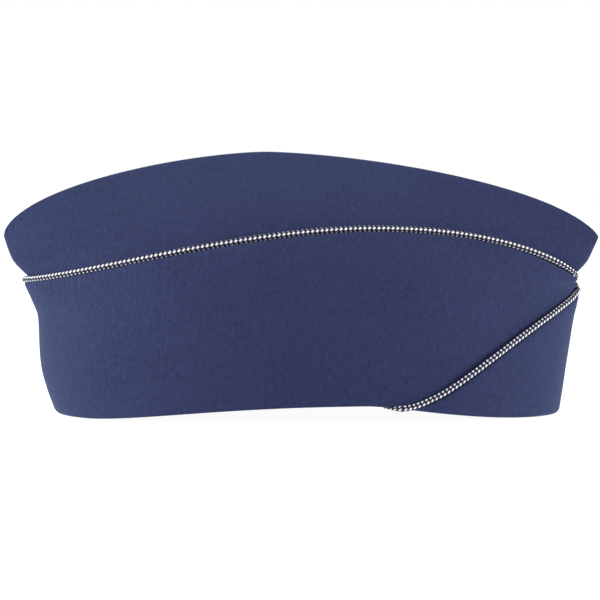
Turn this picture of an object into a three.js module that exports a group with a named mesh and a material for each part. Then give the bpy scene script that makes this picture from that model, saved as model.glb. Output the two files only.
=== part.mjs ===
// A cloth side cap: a hollow crown of two side panels and a folded-in top gusset, inside a turned-up
// curtain of two halves. The left half wraps round the front over the right one and ends in a slanted edge,
// and one braided cord runs along the curtain's edges.
// Millimetres. +X is the front, -Y the wearer's right, +Z up, and the rim stands on z = 0.
import * as THREE from 'three';

// Cloth, gaps and cord
const CROWN_WALL = 1.4;
const CURTAIN_WALL = 2.0;
const GUSSET_WALL = 1.2;
const GAP = 0.3;
const HEM_WIDTH = 5.0;
const BRAID_RADIUS = 1.7;
const BRAID_SIDES = 8;

// Layers, as distances out from the crown's outer face
const CURTAIN_INSIDE = 2 * GAP;
const CURTAIN_OUTSIDE = CURTAIN_INSIDE + CURTAIN_WALL;
const OVERLAP_INSIDE = CURTAIN_OUTSIDE + 2 * GAP;
const BRAID_STANDOFF = BRAID_RADIUS + 2 * GAP;

// The crown's outer face in rings, from the rim (rise 0) to the ridge (rise 1)
const SECTIONS = [
  { rise: 0.00, halfWidth: 63.0, backX: -111.6, frontX: 115.0 },
  { rise: 0.14, halfWidth: 62.4, backX: -115.8, frontX: 116.8 },
  { rise: 0.28, halfWidth: 60.8, backX: -118.7, frontX: 118.4 },
  { rise: 0.54, halfWidth: 52.5, backX: -120.2, frontX: 121.9 },
  { rise: 0.60, halfWidth: 49.4, backX: -121.3, frontX: 122.7 },
  { rise: 0.74, halfWidth: 40.0, backX: -126.4, frontX: 125.6 },
  { rise: 0.80, halfWidth: 34.1, backX: -129.6, frontX: 128.8 },
  { rise: 0.86, halfWidth: 27.0, backX: -133.5, frontX: 132.2 },
  { rise: 1.00, halfWidth: 9.0, backX: -138.4, frontX: 138.4 },
];
const RIM_RING = SECTIONS[0];
const RIDGE_RING = SECTIONS[SECTIONS.length - 1];
const WIDEST_X = -12;
const FRONT_TAPER = 1.12;
const SIDE_DEPTH = 114;
const END_DEPTH = 82;
const LEAN_REACH = 0.02;
const TIP_DEPTH = 6;
const TIP_POWER = 6;

// Lines seen from the side: each climbs from its two ends to one peak
const RIM = {
  peakX: 19.6, peakZ: 7.5,
  back: { x: -85.5, z: 0, spread: 2, round: 1.13 },
  front: { x: 108, z: 0, spread: 2, round: 3 },
};
const RIDGE = {
  peakX: -17, peakZ: 121,
  back: { x: RIDGE_RING.backX, z: 82, spread: 1.65, round: 0.56 },
  front: { x: RIDGE_RING.frontX, z: 81, spread: 1.77, round: 0.64 },
};
const RIGHT_EDGE = {
  peakX: 30, peakZ: 87.3,
  back: { x: -130, z: 62.3, spread: 1.65, round: 1.18 },
  front: { x: 130.5, z: 63.2, spread: 2.4, round: 0.72 },
};
const LEFT_EDGE = { ...RIGHT_EDGE, front: { ...RIGHT_EDGE.front, z: 57.8 } };

// The front overlap, in radians of turn past the centre front
const TONGUE_TURN = 0.28;
const TONGUE_FALL = 18;
const STEP_OUT = { from: 1.0, to: 0.36 };
const HEM_FADE = { from: 0.42, to: 0.32 };
const SLANT = { turn: 1.13, fall: 0.33, bend: 0.74, soften: 0.02 };
const FLAP_TURN = 1.03;

// The gusset between the two ridges
const GUSSET_DIP = 14;
const GUSSET_DIP_POWER = 1.5;
const GUSSET_END_TURN = 0.24;

// Mesh fineness
const TURN_STEP = Math.PI / 40;
const SHORTEST_STEP = 0.3;
const CROWN_ROWS = 12;
const CURTAIN_ROWS = 8;
const GUSSET_ROWS = 6;
const SEAM_TURN = 0.004;
const HALVINGS = 24;
const EDGE_SAMPLES = 4;

const shares = (count) => Array.from({ length: count + 1 }, (_, i) => i / count);

function sectionAt(rise) {
  const above = SECTIONS.findIndex((section) => section.rise >= rise);
  const i = THREE.MathUtils.clamp(above - 1, 0, SECTIONS.length - 2);
  const rows = [-1, 0, 1, 2].map((k) => SECTIONS[THREE.MathUtils.clamp(i + k, 0, SECTIONS.length - 1)]);
  const span = rows[2].rise - rows[1].rise;
  const u = (rise - rows[1].rise) / span;
  const smooth = (column) => {
    const leave = (rows[2][column] - rows[0][column]) / (rows[2].rise - rows[0].rise) * span;
    const arrive = (rows[3][column] - rows[1][column]) / (rows[3].rise - rows[1].rise) * span;
    return (2 * u ** 3 - 3 * u ** 2 + 1) * rows[1][column] + (u ** 3 - 2 * u ** 2 + u) * leave
      + (3 * u ** 2 - 2 * u ** 3) * rows[2][column] + (u ** 3 - u ** 2) * arrive;
  };
  return { halfWidth: smooth('halfWidth'), backX: smooth('backX'), frontX: smooth('frontX') };
}

function heightOn(line, x) {
  const end = x < line.peakX ? line.back : line.front;
  const away = Math.min(1, Math.abs((x - line.peakX) / (end.x - line.peakX)));
  return end.z + (line.peakZ - end.z) * (1 - away ** end.spread) ** end.round;
}

// How much wider a leaning wall is when it is measured level
function leanAt(rise, column, depth) {
  const low = Math.max(rise - LEAN_REACH, 0);
  const high = Math.min(rise + LEAN_REACH, 1);
  const shift = sectionAt(high)[column] - sectionAt(low)[column];
  return Math.hypot(1, shift / ((high - low) * depth));
}

// A point on the cap. turn goes from the centre back (0) along the right side to the centre front (pi), and
// along the left side at negative turns. out is the distance from the crown's outer face.
function ring(turn, rise, out = 0) {
  const section = sectionAt(rise);
  const atBack = Math.cos(turn) > 0;
  const along = (endX) => WIDEST_X + (endX - WIDEST_X) * Math.abs(Math.cos(turn));
  const tip = out < 0 ? 1 + TIP_DEPTH * rise ** TIP_POWER : 1;
  const endOut = out * tip * leanAt(rise, atBack ? 'backX' : 'frontX', END_DEPTH);
  const x = along(atBack ? section.backX - endOut : section.frontX + endOut);
  const sideways = Math.abs(Math.sin(turn)) ** (atBack ? 1 : FRONT_TAPER);
  const sideOut = out * leanAt(rise, 'halfWidth', SIDE_DEPTH);
  const y = -Math.sign(Math.sin(turn)) * sideways * (section.halfWidth + sideOut);
  const rimZ = heightOn(RIM, along(atBack ? RIM_RING.backX : RIM_RING.frontX));
  const ridgeZ = heightOn(RIDGE, along(atBack ? RIDGE_RING.backX : RIDGE_RING.frontX));
  return new THREE.Vector3(x, y, rimZ + (ridgeZ - rimZ) * rise);
}

// The greatest value below the limit for which the test still holds
function lastTrue(limit, test) {
  let low = 0;
  let high = limit;
  for (let i = 0; i < HALVINGS; i += 1) {
    const middle = (low + high) / 2;
    if (test(middle)) low = middle;
    else high = middle;
  }
  return low;
}

// The rise at which the ring has the height that heightAt gives for its x
function riseAt(turn, out, heightAt) {
  return lastTrue(1, (rise) => {
    const point = ring(turn, rise, out);
    return point.z < heightAt(point.x);
  });
}

function turnsBetween(start, end) {
  const turns = [start];
  const first = Math.ceil(Math.min(start, end) / TURN_STEP + SHORTEST_STEP);
  const last = Math.floor(Math.max(start, end) / TURN_STEP - SHORTEST_STEP);
  for (let i = first; i <= last; i += 1) turns.push(i * TURN_STEP);
  turns.push(end);
  return turns.sort((a, b) => a - b);
}

// The braid's centre line as heights: along each curtain's edge, and on past the centre front
function rightLine(turn) {
  if (turn <= Math.PI) return (x) => heightOn(RIGHT_EDGE, x);
  return () => RIGHT_EDGE.front.z - TONGUE_FALL * (turn - Math.PI);
}

function leftLine(turn) {
  if (turn >= -Math.PI) return (x) => heightOn(LEFT_EDGE, x);
  const share = (-Math.PI - turn) / SLANT.turn;
  const left = 1 - SLANT.fall * share - SLANT.bend * share ** 2;
  const eased = (left + Math.hypot(left, SLANT.soften)) / 2;
  const rimZ = ring(turn, 0).z;
  return () => rimZ + (LEFT_EDGE.front.z - rimZ) * eased;
}

// The left curtain steps out near the front, to lie over the right one's tongue
function leftLayer(turn) {
  const past = turn + Math.PI;
  const stepped = 1 - THREE.MathUtils.smoothstep(past, STEP_OUT.to, STEP_OUT.from);
  return CURTAIN_INSIDE + (OVERLAP_INSIDE - CURTAIN_INSIDE) * stepped;
}

const rightLayer = () => CURTAIN_INSIDE;

// The share of the hem that is turned under the crown: none where the left curtain lies over the right one
const rightHem = () => 1;
const leftHem = (turn) => THREE.MathUtils.smoothstep(turn + Math.PI, HEM_FADE.to, HEM_FADE.from);

const braidOut = (turn, layer) => layer(turn) - CURTAIN_INSIDE + BRAID_STANDOFF;

function braidPoint(turn, line, layer) {
  const out = braidOut(turn, layer);
  return ring(turn, riseAt(turn, out, line(turn)), out);
}

// The rise of the cloth's edge, whose whole thickness is just clear of the braid that sits on it
function edgeRise(turn, line, layer) {
  const centre = braidPoint(turn, line, layer);
  const heading = braidPoint(turn + SEAM_TURN, line, layer).sub(centre).normalize();
  const clear = (point) => {
    const away = point.sub(centre);
    return away.addScaledVector(heading, -away.dot(heading)).length() > BRAID_RADIUS + GAP;
  };
  const depths = shares(EDGE_SAMPLES).map((share) => layer(turn) + CURTAIN_WALL * share);
  const limit = riseAt(turn, braidOut(turn, layer), line(turn));
  return lastTrue(limit, (rise) => depths.every((out) => clear(ring(turn, rise, out))));
}

// A closed sheet from stations of [outer, inner] point pairs
function sheet(stations) {
  const positions = [];
  const rows = stations[0].length;
  const corner = (i, j, side) => stations[i][j][side];
  const quad = (a, b, c, d) => [a, b, c, a, c, d].forEach((p) => positions.push(p.x, p.y, p.z));
  const lastStation = stations.length - 1;
  const lastRow = rows - 1;
  for (let i = 0; i < lastStation; i += 1) {
    for (let j = 0; j < lastRow; j += 1) {
      quad(corner(i, j, 0), corner(i + 1, j, 0), corner(i + 1, j + 1, 0), corner(i, j + 1, 0));
      quad(corner(i, j, 1), corner(i, j + 1, 1), corner(i + 1, j + 1, 1), corner(i + 1, j, 1));
    }
    quad(corner(i, 0, 1), corner(i + 1, 0, 1), corner(i + 1, 0, 0), corner(i, 0, 0));
    quad(corner(i, lastRow, 0), corner(i + 1, lastRow, 0),
      corner(i + 1, lastRow, 1), corner(i, lastRow, 1));
  }
  for (let j = 0; j < lastRow; j += 1) {
    quad(corner(0, j, 0), corner(0, j + 1, 0), corner(0, j + 1, 1), corner(0, j, 1));
    quad(corner(lastStation, j, 1), corner(lastStation, j + 1, 1),
      corner(lastStation, j + 1, 0), corner(lastStation, j, 0));
  }
  const geometry = new THREE.BufferGeometry();
  geometry.setAttribute('position', new THREE.Float32BufferAttribute(positions, 3));
  geometry.computeVertexNormals();
  return geometry;
}

// A side panel of the crown, which stands on the curtain's hem
function crownPanel(side) {
  const turns = turnsBetween(Math.min(0, side * Math.PI), Math.max(0, side * Math.PI));
  return sheet(turns.map((turn) => {
    const foot = riseAt(turn, 0, () => ring(turn, 0).z + CURTAIN_WALL + GAP);
    return shares(CROWN_ROWS).map((share) => {
      const rise = foot + (1 - foot) * share;
      return [ring(turn, rise), ring(turn, rise, -CROWN_WALL)];
    });
  }));
}

// Half of the curtain: a hem turned in under the crown, then the wall up to the braid
function curtain(turns, line, layer, hemShare) {
  return sheet(turns.map((turn) => {
    const inside = layer(turn);
    const outside = inside + CURTAIN_WALL;
    const hemEnd = THREE.MathUtils.lerp(inside - GAP / 3, CURTAIN_INSIDE - HEM_WIDTH, hemShare(turn));
    const top = edgeRise(turn, line, layer);
    const bottom = riseAt(turn, inside, () => ring(turn, 0).z + CURTAIN_WALL);
    const hem = [ring(turn, 0, hemEnd), ring(turn, bottom, hemEnd)];
    const wall = shares(CURTAIN_ROWS).map((share) => [
      ring(turn, top * share, outside),
      ring(turn, bottom + (top - bottom) * share, inside),
    ]);
    return [hem, ...wall];
  }));
}

// The strip folded down between the ridges
function gusset() {
  const turns = turnsBetween(GUSSET_END_TURN, Math.PI - GUSSET_END_TURN);
  return sheet(turns.map((turn) => {
    const ridge = ring(turn, 1, -CROWN_WALL);
    const dip = GUSSET_DIP * Math.sin(turn) ** GUSSET_DIP_POWER;
    const open = Math.abs(ridge.y) - GAP;
    const leg = Math.hypot(open, dip);
    const thickAcross = Math.min(GUSSET_WALL * dip / leg, open / 2);
    const thickDown = GUSSET_WALL * leg / open;
    return shares(GUSSET_ROWS).map((share) => {
      const across = 2 * share - 1;
      const z = ridge.z - GAP - dip * (1 - Math.abs(across));
      const top = new THREE.Vector3(ridge.x, across * (open - thickAcross), z);
      const under = new THREE.Vector3(ridge.x, across * open, z - thickDown * (1 - Math.abs(across)));
      return [top, under];
    });
  }));
}

// The braid's route: the tucked end at the front, the right side, the back, the left side, the slanted edge
class BraidRoute extends THREE.Curve {
  constructor() {
    super();
    this.start = Math.PI + TURN_STEP;
    this.end = -Math.PI - Math.floor(SLANT.turn / TURN_STEP) * TURN_STEP;
    this.steps = Math.round((this.start - this.end) / TURN_STEP);
  }

  getPoint(share) {
    const turn = THREE.MathUtils.lerp(this.start, this.end, share);
    return turn > 0 ? braidPoint(turn, rightLine, rightLayer) : braidPoint(turn, leftLine, leftLayer);
  }

  // Even steps of turn, which are the shortest round the two ends
  getUtoTmapping(share) {
    return share;
  }
}

function braid() {
  const route = new BraidRoute();
  const round = new THREE.Shape(new THREE.EllipseCurve(0, 0, BRAID_RADIUS, BRAID_RADIUS)
    .getPoints(BRAID_SIDES).slice(0, BRAID_SIDES));
  return new THREE.ExtrudeGeometry(round, { extrudePath: route, steps: route.steps, bevelEnabled: false });
}

const crownCloth = new THREE.MeshStandardMaterial({ color: '#3b4164', roughness: 0.92, metalness: 0 });
const curtainCloth = new THREE.MeshStandardMaterial({ color: '#393f61', roughness: 0.92, metalness: 0 });
const braidSilver = new THREE.MeshStandardMaterial({ color: '#b9b6b4', roughness: 0.45, metalness: 0.35 });

const cap = new THREE.Group();

function place(name, geometry, material, y = 0) {
  const mesh = new THREE.Mesh(geometry, material);
  mesh.name = name;
  mesh.position.y = y;
  cap.add(mesh);
}

place('crown_right', crownPanel(1), crownCloth, -GAP / 2);
place('crown_left', crownPanel(-1), crownCloth, GAP / 2);
place('top_gusset', gusset(), crownCloth);
const rightTurns = turnsBetween(SEAM_TURN, Math.PI + TONGUE_TURN);
const leftTurns = turnsBetween(-Math.PI - FLAP_TURN, -SEAM_TURN);
place('curtain_right', curtain(rightTurns, rightLine, rightLayer, rightHem), curtainCloth);
place('curtain_left', curtain(leftTurns, leftLine, leftLayer, leftHem), curtainCloth);
place('edge_braid', braid(), braidSilver);

export default cap;
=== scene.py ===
"""A dark blue side cap with a silver and black braided edge.

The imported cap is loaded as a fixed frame. Each cloth panel and the braid is then made in full detail
over its plain solid, and set on a pale floor in soft light. Sizes are in metres, with +X to the front,
-Y to the wearer's right and +Z up.
"""

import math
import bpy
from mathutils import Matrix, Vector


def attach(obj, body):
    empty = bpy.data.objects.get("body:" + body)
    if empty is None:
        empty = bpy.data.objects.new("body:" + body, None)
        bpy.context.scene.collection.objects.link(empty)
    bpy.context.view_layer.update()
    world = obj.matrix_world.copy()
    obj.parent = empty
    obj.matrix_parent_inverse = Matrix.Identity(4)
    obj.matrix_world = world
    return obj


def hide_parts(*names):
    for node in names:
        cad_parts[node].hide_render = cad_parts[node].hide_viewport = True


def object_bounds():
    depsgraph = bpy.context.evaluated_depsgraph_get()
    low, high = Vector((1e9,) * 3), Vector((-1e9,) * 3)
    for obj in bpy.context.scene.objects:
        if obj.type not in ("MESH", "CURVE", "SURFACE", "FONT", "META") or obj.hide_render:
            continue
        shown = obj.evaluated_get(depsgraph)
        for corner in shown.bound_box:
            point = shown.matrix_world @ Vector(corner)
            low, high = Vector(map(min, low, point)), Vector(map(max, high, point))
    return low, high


bl_info = {
    "name": "Side Cap",
    "version": (1, 0, 0),
    "blender": (4, 5, 0),
    "location": "View3D > Sidebar > Side Cap",
    "description": "Makes the cloth panels, the braid and the stage of a side cap",
    "category": "Object",
}

from collections import namedtuple

import bmesh
import bpy
import numpy as np
from bpy.props import FloatProperty, FloatVectorProperty, IntProperty, PointerProperty
from mathutils import Vector

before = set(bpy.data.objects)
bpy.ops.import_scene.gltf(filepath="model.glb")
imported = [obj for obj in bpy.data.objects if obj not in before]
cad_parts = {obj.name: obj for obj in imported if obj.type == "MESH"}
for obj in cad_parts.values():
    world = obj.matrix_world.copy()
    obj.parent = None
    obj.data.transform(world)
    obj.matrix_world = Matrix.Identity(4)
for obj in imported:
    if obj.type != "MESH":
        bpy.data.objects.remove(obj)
CAD_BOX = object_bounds()
BODY = "root"

# Gaps between the pieces, and the curtain's layer as a distance out from the crown's outer face
GAP = 0.0003
EDGE_GAP = GAP / 3
CURTAIN_INSIDE = 2 * GAP
SEAM_GAP = 0.000005
SEAM_SLANT = 0.0003
SEAM_TURN = 0.00008

# The crown's outer face in rings, from the rim (rise 0) to the ridge (rise 1)
RISE, HALF_WIDTH, BACK_X, FRONT_X = range(4)
SECTIONS = np.array([
    # rise, half width, back x, front x
    (0.00, 0.0630, -0.1116, 0.1150),
    (0.14, 0.0624, -0.1158, 0.1168),
    (0.28, 0.0608, -0.1187, 0.1184),
    (0.54, 0.0525, -0.1202, 0.1219),
    (0.60, 0.0494, -0.1213, 0.1227),
    (0.74, 0.0400, -0.1256, 0.1242),
    (0.80, 0.0341, -0.1306, 0.1291),
    (0.86, 0.0270, -0.1349, 0.1336),
    (1.00, 0.0090, -0.1390, 0.1391),
])
WIDEST_X = -0.012
FRONT_TAPER = 1.12
SIDE_DEPTH = 0.114
END_DEPTH = 0.082
LEAN_REACH = 0.02
TIP_DEPTH = 6
TIP_POWER = 6

# Lines seen from the side: each climbs from its two ends to one peak
End = namedtuple("End", "x z spread round")
Arch = namedtuple("Arch", "peak_x peak_z back front")
RIM = Arch(0.0298, 0.0074, End(-0.097, 0.0, 2.37, 1.6), End(0.115, 0.0, 1.45, 2.62))
RIDGE = Arch(-0.0168, 0.1219, End(-0.1390, 0.0828, 1.555, 0.558), End(0.1412, 0.0771, 1.547, 0.541))
RIGHT_EDGE = Arch(0.0305, 0.0869, End(-0.130, 0.0623, 1.74, 1.31), End(0.1305, 0.0617, 2.25, 0.725))
LEFT_EDGE = RIGHT_EDGE._replace(front=RIGHT_EDGE.front._replace(z=0.0572))

# The front overlap: turns are in radians from the centre front
FRONT_DIP_TURN, RIGHT_DIP, LEFT_DIP = 0.16, 0.0030, 0.0018
TONGUE_TURN = 0.28
TONGUE_FALL = 0.018
STEP_OUT_FROM, STEP_OUT_TO = 1.0, 0.36
HEM_FADE_FROM, HEM_FADE_TO = 0.42, 0.32
SLANT_TURN, SLANT_FALL, SLANT_BEND, SLANT_POWER, SLANT_SOFTEN = 1.13, 0.381, 0.909, 2.778, 0.2155
FLAP_TURN = 1.08
FLAP_LIFT_BY = 0.5
SETTLE_FROM, SETTLE_TO = 0.75, 1.08

# The braid's two ends: one goes down under the flap, the other in under the rim
FRONT_TUCK_TURN = 0.22
RIM_SINK_FROM, RIM_SINK_TO, RIM_SINK = 1.0, 1.17, 0.0003
RIM_TUCK_FROM, RIM_TUCK_TO = 1.115, 1.175
FRONT_TUCKED_SIZE, RIM_TUCKED_SIZE = 0.4, 0.15

# How the braid thins, thickens, stands out and rolls along its way
THIN_FROM, THIN_FULLY = 2.7, 3.1
THICK_FROM, THICK_FULLY = -0.02, 0.13
FRONT_FULL, FRONT_FULL_TURN = 1.05, 0.35
SLANT_ROLL_FROM, SLANT_ROLL_FULLY = 2.75, 4.05
CORE_INSET = 1.5

# The gusset between the two ridges
GUSSET_END_TURN = 0.12
GUSSET_DIP_POWER = 1.5
GUSSET_FOLD = 0.06
GUSSET_GAP = 0.00006

# The cloth's relief: its broad waves, and where each kind of relief begins and is whole
Wave = namedtuple("Wave", "turn rise start")
LONG_WAVE, CROSS_WAVE, SHORT_WAVE = Wave(5.0, 3.1, 0.0), Wave(0.0, 4.3, 0.8), Wave(9.0, -5.2, 1.7)
SHORT_WAVE_SHARE = 0.6
RIDGE_FADE = 0.012
BARE_FROM, BARE_FULLY = 0.45, 0.75
WALL_FROM, WALL_FULLY = 0.004, 0.012
FULL_FROM, FULL_TO, FULL_BELOW = 0.54, 0.70, 0.0012
FULL_END, ROLL_END = 0.8, 0.85
PUCKER_DRIFT, PUCKER_DRIFT_RATE = 0.22, 1.9
FAR_FROM_SEAM = 1.0

# Limits of the fold along the rim, as shares of the curtain's height
HIGHEST_FOLD, WIDEST_FOLD = 0.45, 0.4

# Weave and thread: counts for each metre, shares of the mottling, and shades of the base colours
WAVE_PERIOD = math.pi / 10
TWILL_ANGLE = math.radians(-27)
SLUBS, CLOUDS, PATCHES = 1100.0, 520.0, 28.0
SLUB_SHARE, CLOUD_SHARE, PATCH_SHARE, TWILL_SHARE = 0.42, 0.34, 0.14, 0.10
TWILL_HEIGHT, SLUB_HEIGHT = 0.6, 0.7
DARK_CLOTH, LIGHT_CLOTH = 0.64, 1.36
FILAMENTS, TINTS = 500.0, 420.0
# Painted shade: a strand's flanks and the parts where it lies under are darkened to this share of its
# colour
PAINTED_FLANK_SHADE = 0.12
NAP_TINT = (0.36, 0.56, 1.0, 1.0)

# The floor, the sky and the lights
Softbox = namedtuple("Softbox", "power colour place width height")
WHITE_LIGHT = (1.0, 1.0, 1.0)
COOL_LIGHT = (0.84, 1.0, 0.90)
SOFTBOXES = {
    "back_softbox": Softbox("back_power", COOL_LIGHT, (-1.28, -0.25, 0.42), 0.7, 0.6),
    "front_softbox": Softbox("front_power", COOL_LIGHT, (1.3, -0.18, 0.34), 0.4, 0.4),
    "top_softbox": Softbox("top_power", WHITE_LIGHT, (0.0, 0.0, 1.4), 1.2, 1.2),
}
SKY_LOW, SKY_HIGH = 0.16, 0.42
FLOOR_HALF_SIDE = 6.0
FLOOR_DROP = 0.0002
FLOOR_CLOUD = 0.005

# Fineness of the meshes and of the searches for an edge
CROWN_COLUMNS, CROWN_ROWS = 300, 44
CURTAIN_COLUMNS, HEM_ROWS, FOLD_ROWS, WALL_ROWS = 420, 3, 5, 36
GUSSET_COLUMNS, GUSSET_ROWS = 220, 24
EDGE_ROWS = 4
EDGE_SHARES = (0.0, 0.25, 0.5, 0.75, 1.0)
FLOOR_SEGMENTS = 8
STRAND_STEPS = 7
STRAND_SIDES = 8
ROUTE_POINTS = 4000
HALVINGS = 26
SMALL_TURN = 0.004
SAME_PLACE = 1e-7
SHARP_ANGLE = math.radians(55)
HALF_GRID = 0.5
FLAT_THICKNESS = 0.1


class CapClothSettings(bpy.types.PropertyGroup):
    """Sizes and colours of the cloth."""

    crown_wall: FloatProperty(
        name="Crown Thickness", description="Thickness of the crown's cloth", default=0.0014,
        min=0.001, max=0.003, unit="LENGTH", precision=4)
    curtain_wall: FloatProperty(
        name="Curtain Thickness", description="Thickness of the doubled curtain", default=0.002,
        min=0.001, max=0.003, unit="LENGTH", precision=4)
    gusset_wall: FloatProperty(
        name="Gusset Thickness", description="Thickness of the folded top strip", default=0.0012,
        min=0.001, max=0.003, unit="LENGTH", precision=4)
    gusset_dip: FloatProperty(
        name="Gusset Depth", description="How far the top strip folds down between the ridges",
        default=0.014, min=0.0, max=0.03, unit="LENGTH", precision=4)
    hem_width: FloatProperty(
        name="Hem Width", description="How far the hem is turned in under the crown", default=0.005,
        min=0.0, max=0.01, unit="LENGTH", precision=4)
    hem_roll: FloatProperty(
        name="Hem Roll", description="Radius of the fold along the rim", default=0.0013,
        min=0.0002, max=0.003, unit="LENGTH", precision=4)
    end_roll: FloatProperty(
        name="End Roll", description="Radius of the same fold at the centre back and the centre front",
        default=0.0025, min=0.0002, max=0.006, unit="LENGTH", precision=4)
    flap_lift: FloatProperty(
        name="Flap Lift", description="How far the flap's slanted edge stands off the cloth under it",
        default=0.0011, min=0.0, max=0.004, unit="LENGTH", precision=4)
    seam_depth: FloatProperty(
        name="Seam Depth", description="Depth of the groove at a seam", default=0.0002,
        min=0.0, max=0.001, unit="LENGTH", precision=5)
    seam_width: FloatProperty(
        name="Seam Width", description="Distance over which the cloth rolls into a seam", default=0.0016,
        min=0.0005, max=0.005, unit="LENGTH", precision=5)
    pucker_depth: FloatProperty(
        name="Pucker Depth", description="Depth of the small puckers beside a row of sewing",
        default=0.00012, min=0.0, max=0.0005, unit="LENGTH", precision=5)
    pucker_pitch: FloatProperty(
        name="Pucker Pitch", description="Distance from one pucker to the next", default=0.0034,
        min=0.001, max=0.01, unit="LENGTH", precision=4)
    pucker_reach: FloatProperty(
        name="Pucker Reach", description="How far the puckers reach to both sides of the sewing",
        default=0.0022, min=0.0005, max=0.02, unit="LENGTH", precision=4)
    sewing_inset: FloatProperty(
        name="Sewing Inset", description="Distance of the sewing from the edge of the cloth",
        default=0.0032, min=0.0, max=0.02, unit="LENGTH", precision=4)
    end_fullness: FloatProperty(
        name="End Fullness", description="How far the curtain stands out below its edge at both ends",
        default=0.0011, min=0.0, max=0.003, unit="LENGTH", precision=5)
    drape: FloatProperty(
        name="Drape", description="Height of the broad, shallow waves in the cloth", default=0.00025,
        min=0.0, max=0.002, unit="LENGTH", precision=5)
    twill_pitch: FloatProperty(
        name="Twill Pitch", description="Distance between the twill lines", default=0.00062,
        min=0.0002, max=0.003, unit="LENGTH", precision=5)
    # Painted shade: the crown's colour is the curtain's cloth a little darker, offsetting the extra light
    # on its upturned faces
    crown_colour: FloatVectorProperty(
        name="Crown Colour", description="Colour of the crown and gusset", subtype="COLOR",
        default=(0.0209, 0.0258, 0.0855), min=0.0, max=1.0)
    curtain_colour: FloatVectorProperty(
        name="Curtain Colour", description="Colour of the curtain", subtype="COLOR",
        default=(0.0219, 0.0272, 0.0880), min=0.0, max=1.0)


class CapBraidSettings(bpy.types.PropertyGroup):
    """Sizes and colours of the braided cord."""

    radius: FloatProperty(
        name="Radius", description="Radius of the braid over its strands", default=0.00142,
        min=0.001, max=0.003, unit="LENGTH", precision=5)
    front_radius: FloatProperty(
        name="Front Radius", description="Radius of the braid where it goes round the front",
        default=0.0008, min=0.0005, max=0.003, unit="LENGTH", precision=5)
    slant_radius: FloatProperty(
        name="Slant Radius", description="Radius of the braid on the slanted edge",
        default=0.0014, min=0.0005, max=0.003, unit="LENGTH", precision=5)
    proud: FloatProperty(
        name="Proud", description="How far the braid stands out from the cloth that it edges",
        default=0.0007, min=0.0, max=0.003, unit="LENGTH", precision=5)
    lead: FloatProperty(
        name="Lead", description="Length in which a strand goes once round", default=0.00872,
        min=0.004, max=0.02, unit="LENGTH", precision=5)
    strands: IntProperty(
        name="Strands Each Way", description="Number of strands of each colour", default=4, min=2, max=8)
    silver_width: FloatProperty(
        name="Silver Width", description="Width of a flattened silver strand", default=0.0012,
        min=0.0003, max=0.002, unit="LENGTH", precision=5)
    black_width: FloatProperty(
        name="Black Width", description="Width of a flattened black strand", default=0.00138,
        min=0.0003, max=0.002, unit="LENGTH", precision=5)
    strand_thickness: FloatProperty(
        name="Strand Thickness", description="Thickness of a flattened strand", default=0.0004,
        min=0.0002, max=0.001, unit="LENGTH", precision=5)
    side_roll: FloatProperty(
        name="Roll on the Sides", description="Angle of a silver row above the level on the cap's sides",
        default=math.radians(22), subtype="ANGLE")
    roll_sway: FloatProperty(
        name="Roll Sway", description="How far the roll swings to and fro along the sides",
        default=math.radians(10), subtype="ANGLE")
    slant_roll: FloatProperty(
        name="Roll on the Slant", description="The same angle on the slanted edge",
        default=math.radians(-24), subtype="ANGLE")
    silver: FloatVectorProperty(
        name="Silver", description="Colour of the silver strands", subtype="COLOR",
        default=(0.92, 0.86, 1.0), min=0.0, max=1.0)
    warm_silver: FloatVectorProperty(
        name="Warm Silver", description="Colour of the warmer silver threads", subtype="COLOR",
        default=(0.94, 0.86, 0.80), min=0.0, max=1.0)
    black: FloatVectorProperty(
        name="Black", description="Colour of the black strands", subtype="COLOR",
        default=(0.012, 0.010, 0.042), min=0.0, max=1.0)


class CapStageSettings(bpy.types.PropertyGroup):
    """The floor, the lights and the camera."""

    floor_colour: FloatVectorProperty(
        name="Floor Colour", description="Colour of the plain floor", subtype="COLOR",
        default=(0.30, 0.30, 0.30), min=0.0, max=1.0)
    floor_glow: FloatProperty(
        name="Floor Glow", description="Strength of the white light that comes up through the floor",
        default=0.95, min=0.0, max=2.0)
    sky_strength: FloatProperty(
        name="Sky Strength", description="Strength of the white light near the horizon", default=1.0,
        min=0.0, max=5.0)
    overhead_share: FloatProperty(
        name="Overhead Share", description="Share of the sky's strength that is left overhead",
        default=0.7, min=0.0, max=1.0, subtype="FACTOR")
    underneath_share: FloatProperty(
        name="Underneath Share", description="Share of the sky's strength that comes back from below",
        default=0.9, min=0.0, max=1.0, subtype="FACTOR")
    back_power: FloatProperty(
        name="Back Light", description="Power of the softbox behind the cap", default=18.0,
        unit="POWER", min=0.0)
    front_power: FloatProperty(
        name="Front Light", description="Power of the softbox before the cap", default=12.0,
        unit="POWER", min=0.0)
    top_power: FloatProperty(
        name="Top Light", description="Power of the softbox over the cap", default=1.0,
        unit="POWER", min=0.0)
    camera_distance: FloatProperty(
        name="Camera Distance", description="Distance from the camera to the point it looks at",
        default=1.6, unit="LENGTH", min=0.3)
    camera_height_angle: FloatProperty(
        name="Camera Height", description="Angle of the camera above the level", subtype="ANGLE",
        default=math.radians(2.5))
    view_width: FloatProperty(
        name="View Width", description="Width of the picture at the cap's middle", default=0.280,
        unit="LENGTH", min=0.05)
    aim: FloatVectorProperty(
        name="Aim", description="The point that the camera looks at", subtype="XYZ", unit="LENGTH",
        default=(-0.00056, 0.0, 0.0527), precision=5)


# The cap's surface

def smooth_step(value, low, high):
    share = np.clip((value - low) / (high - low), 0.0, 1.0)
    return share * share * (3.0 - 2.0 * share)


def blend(low, high, share):
    return low + (high - low) * share


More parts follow.
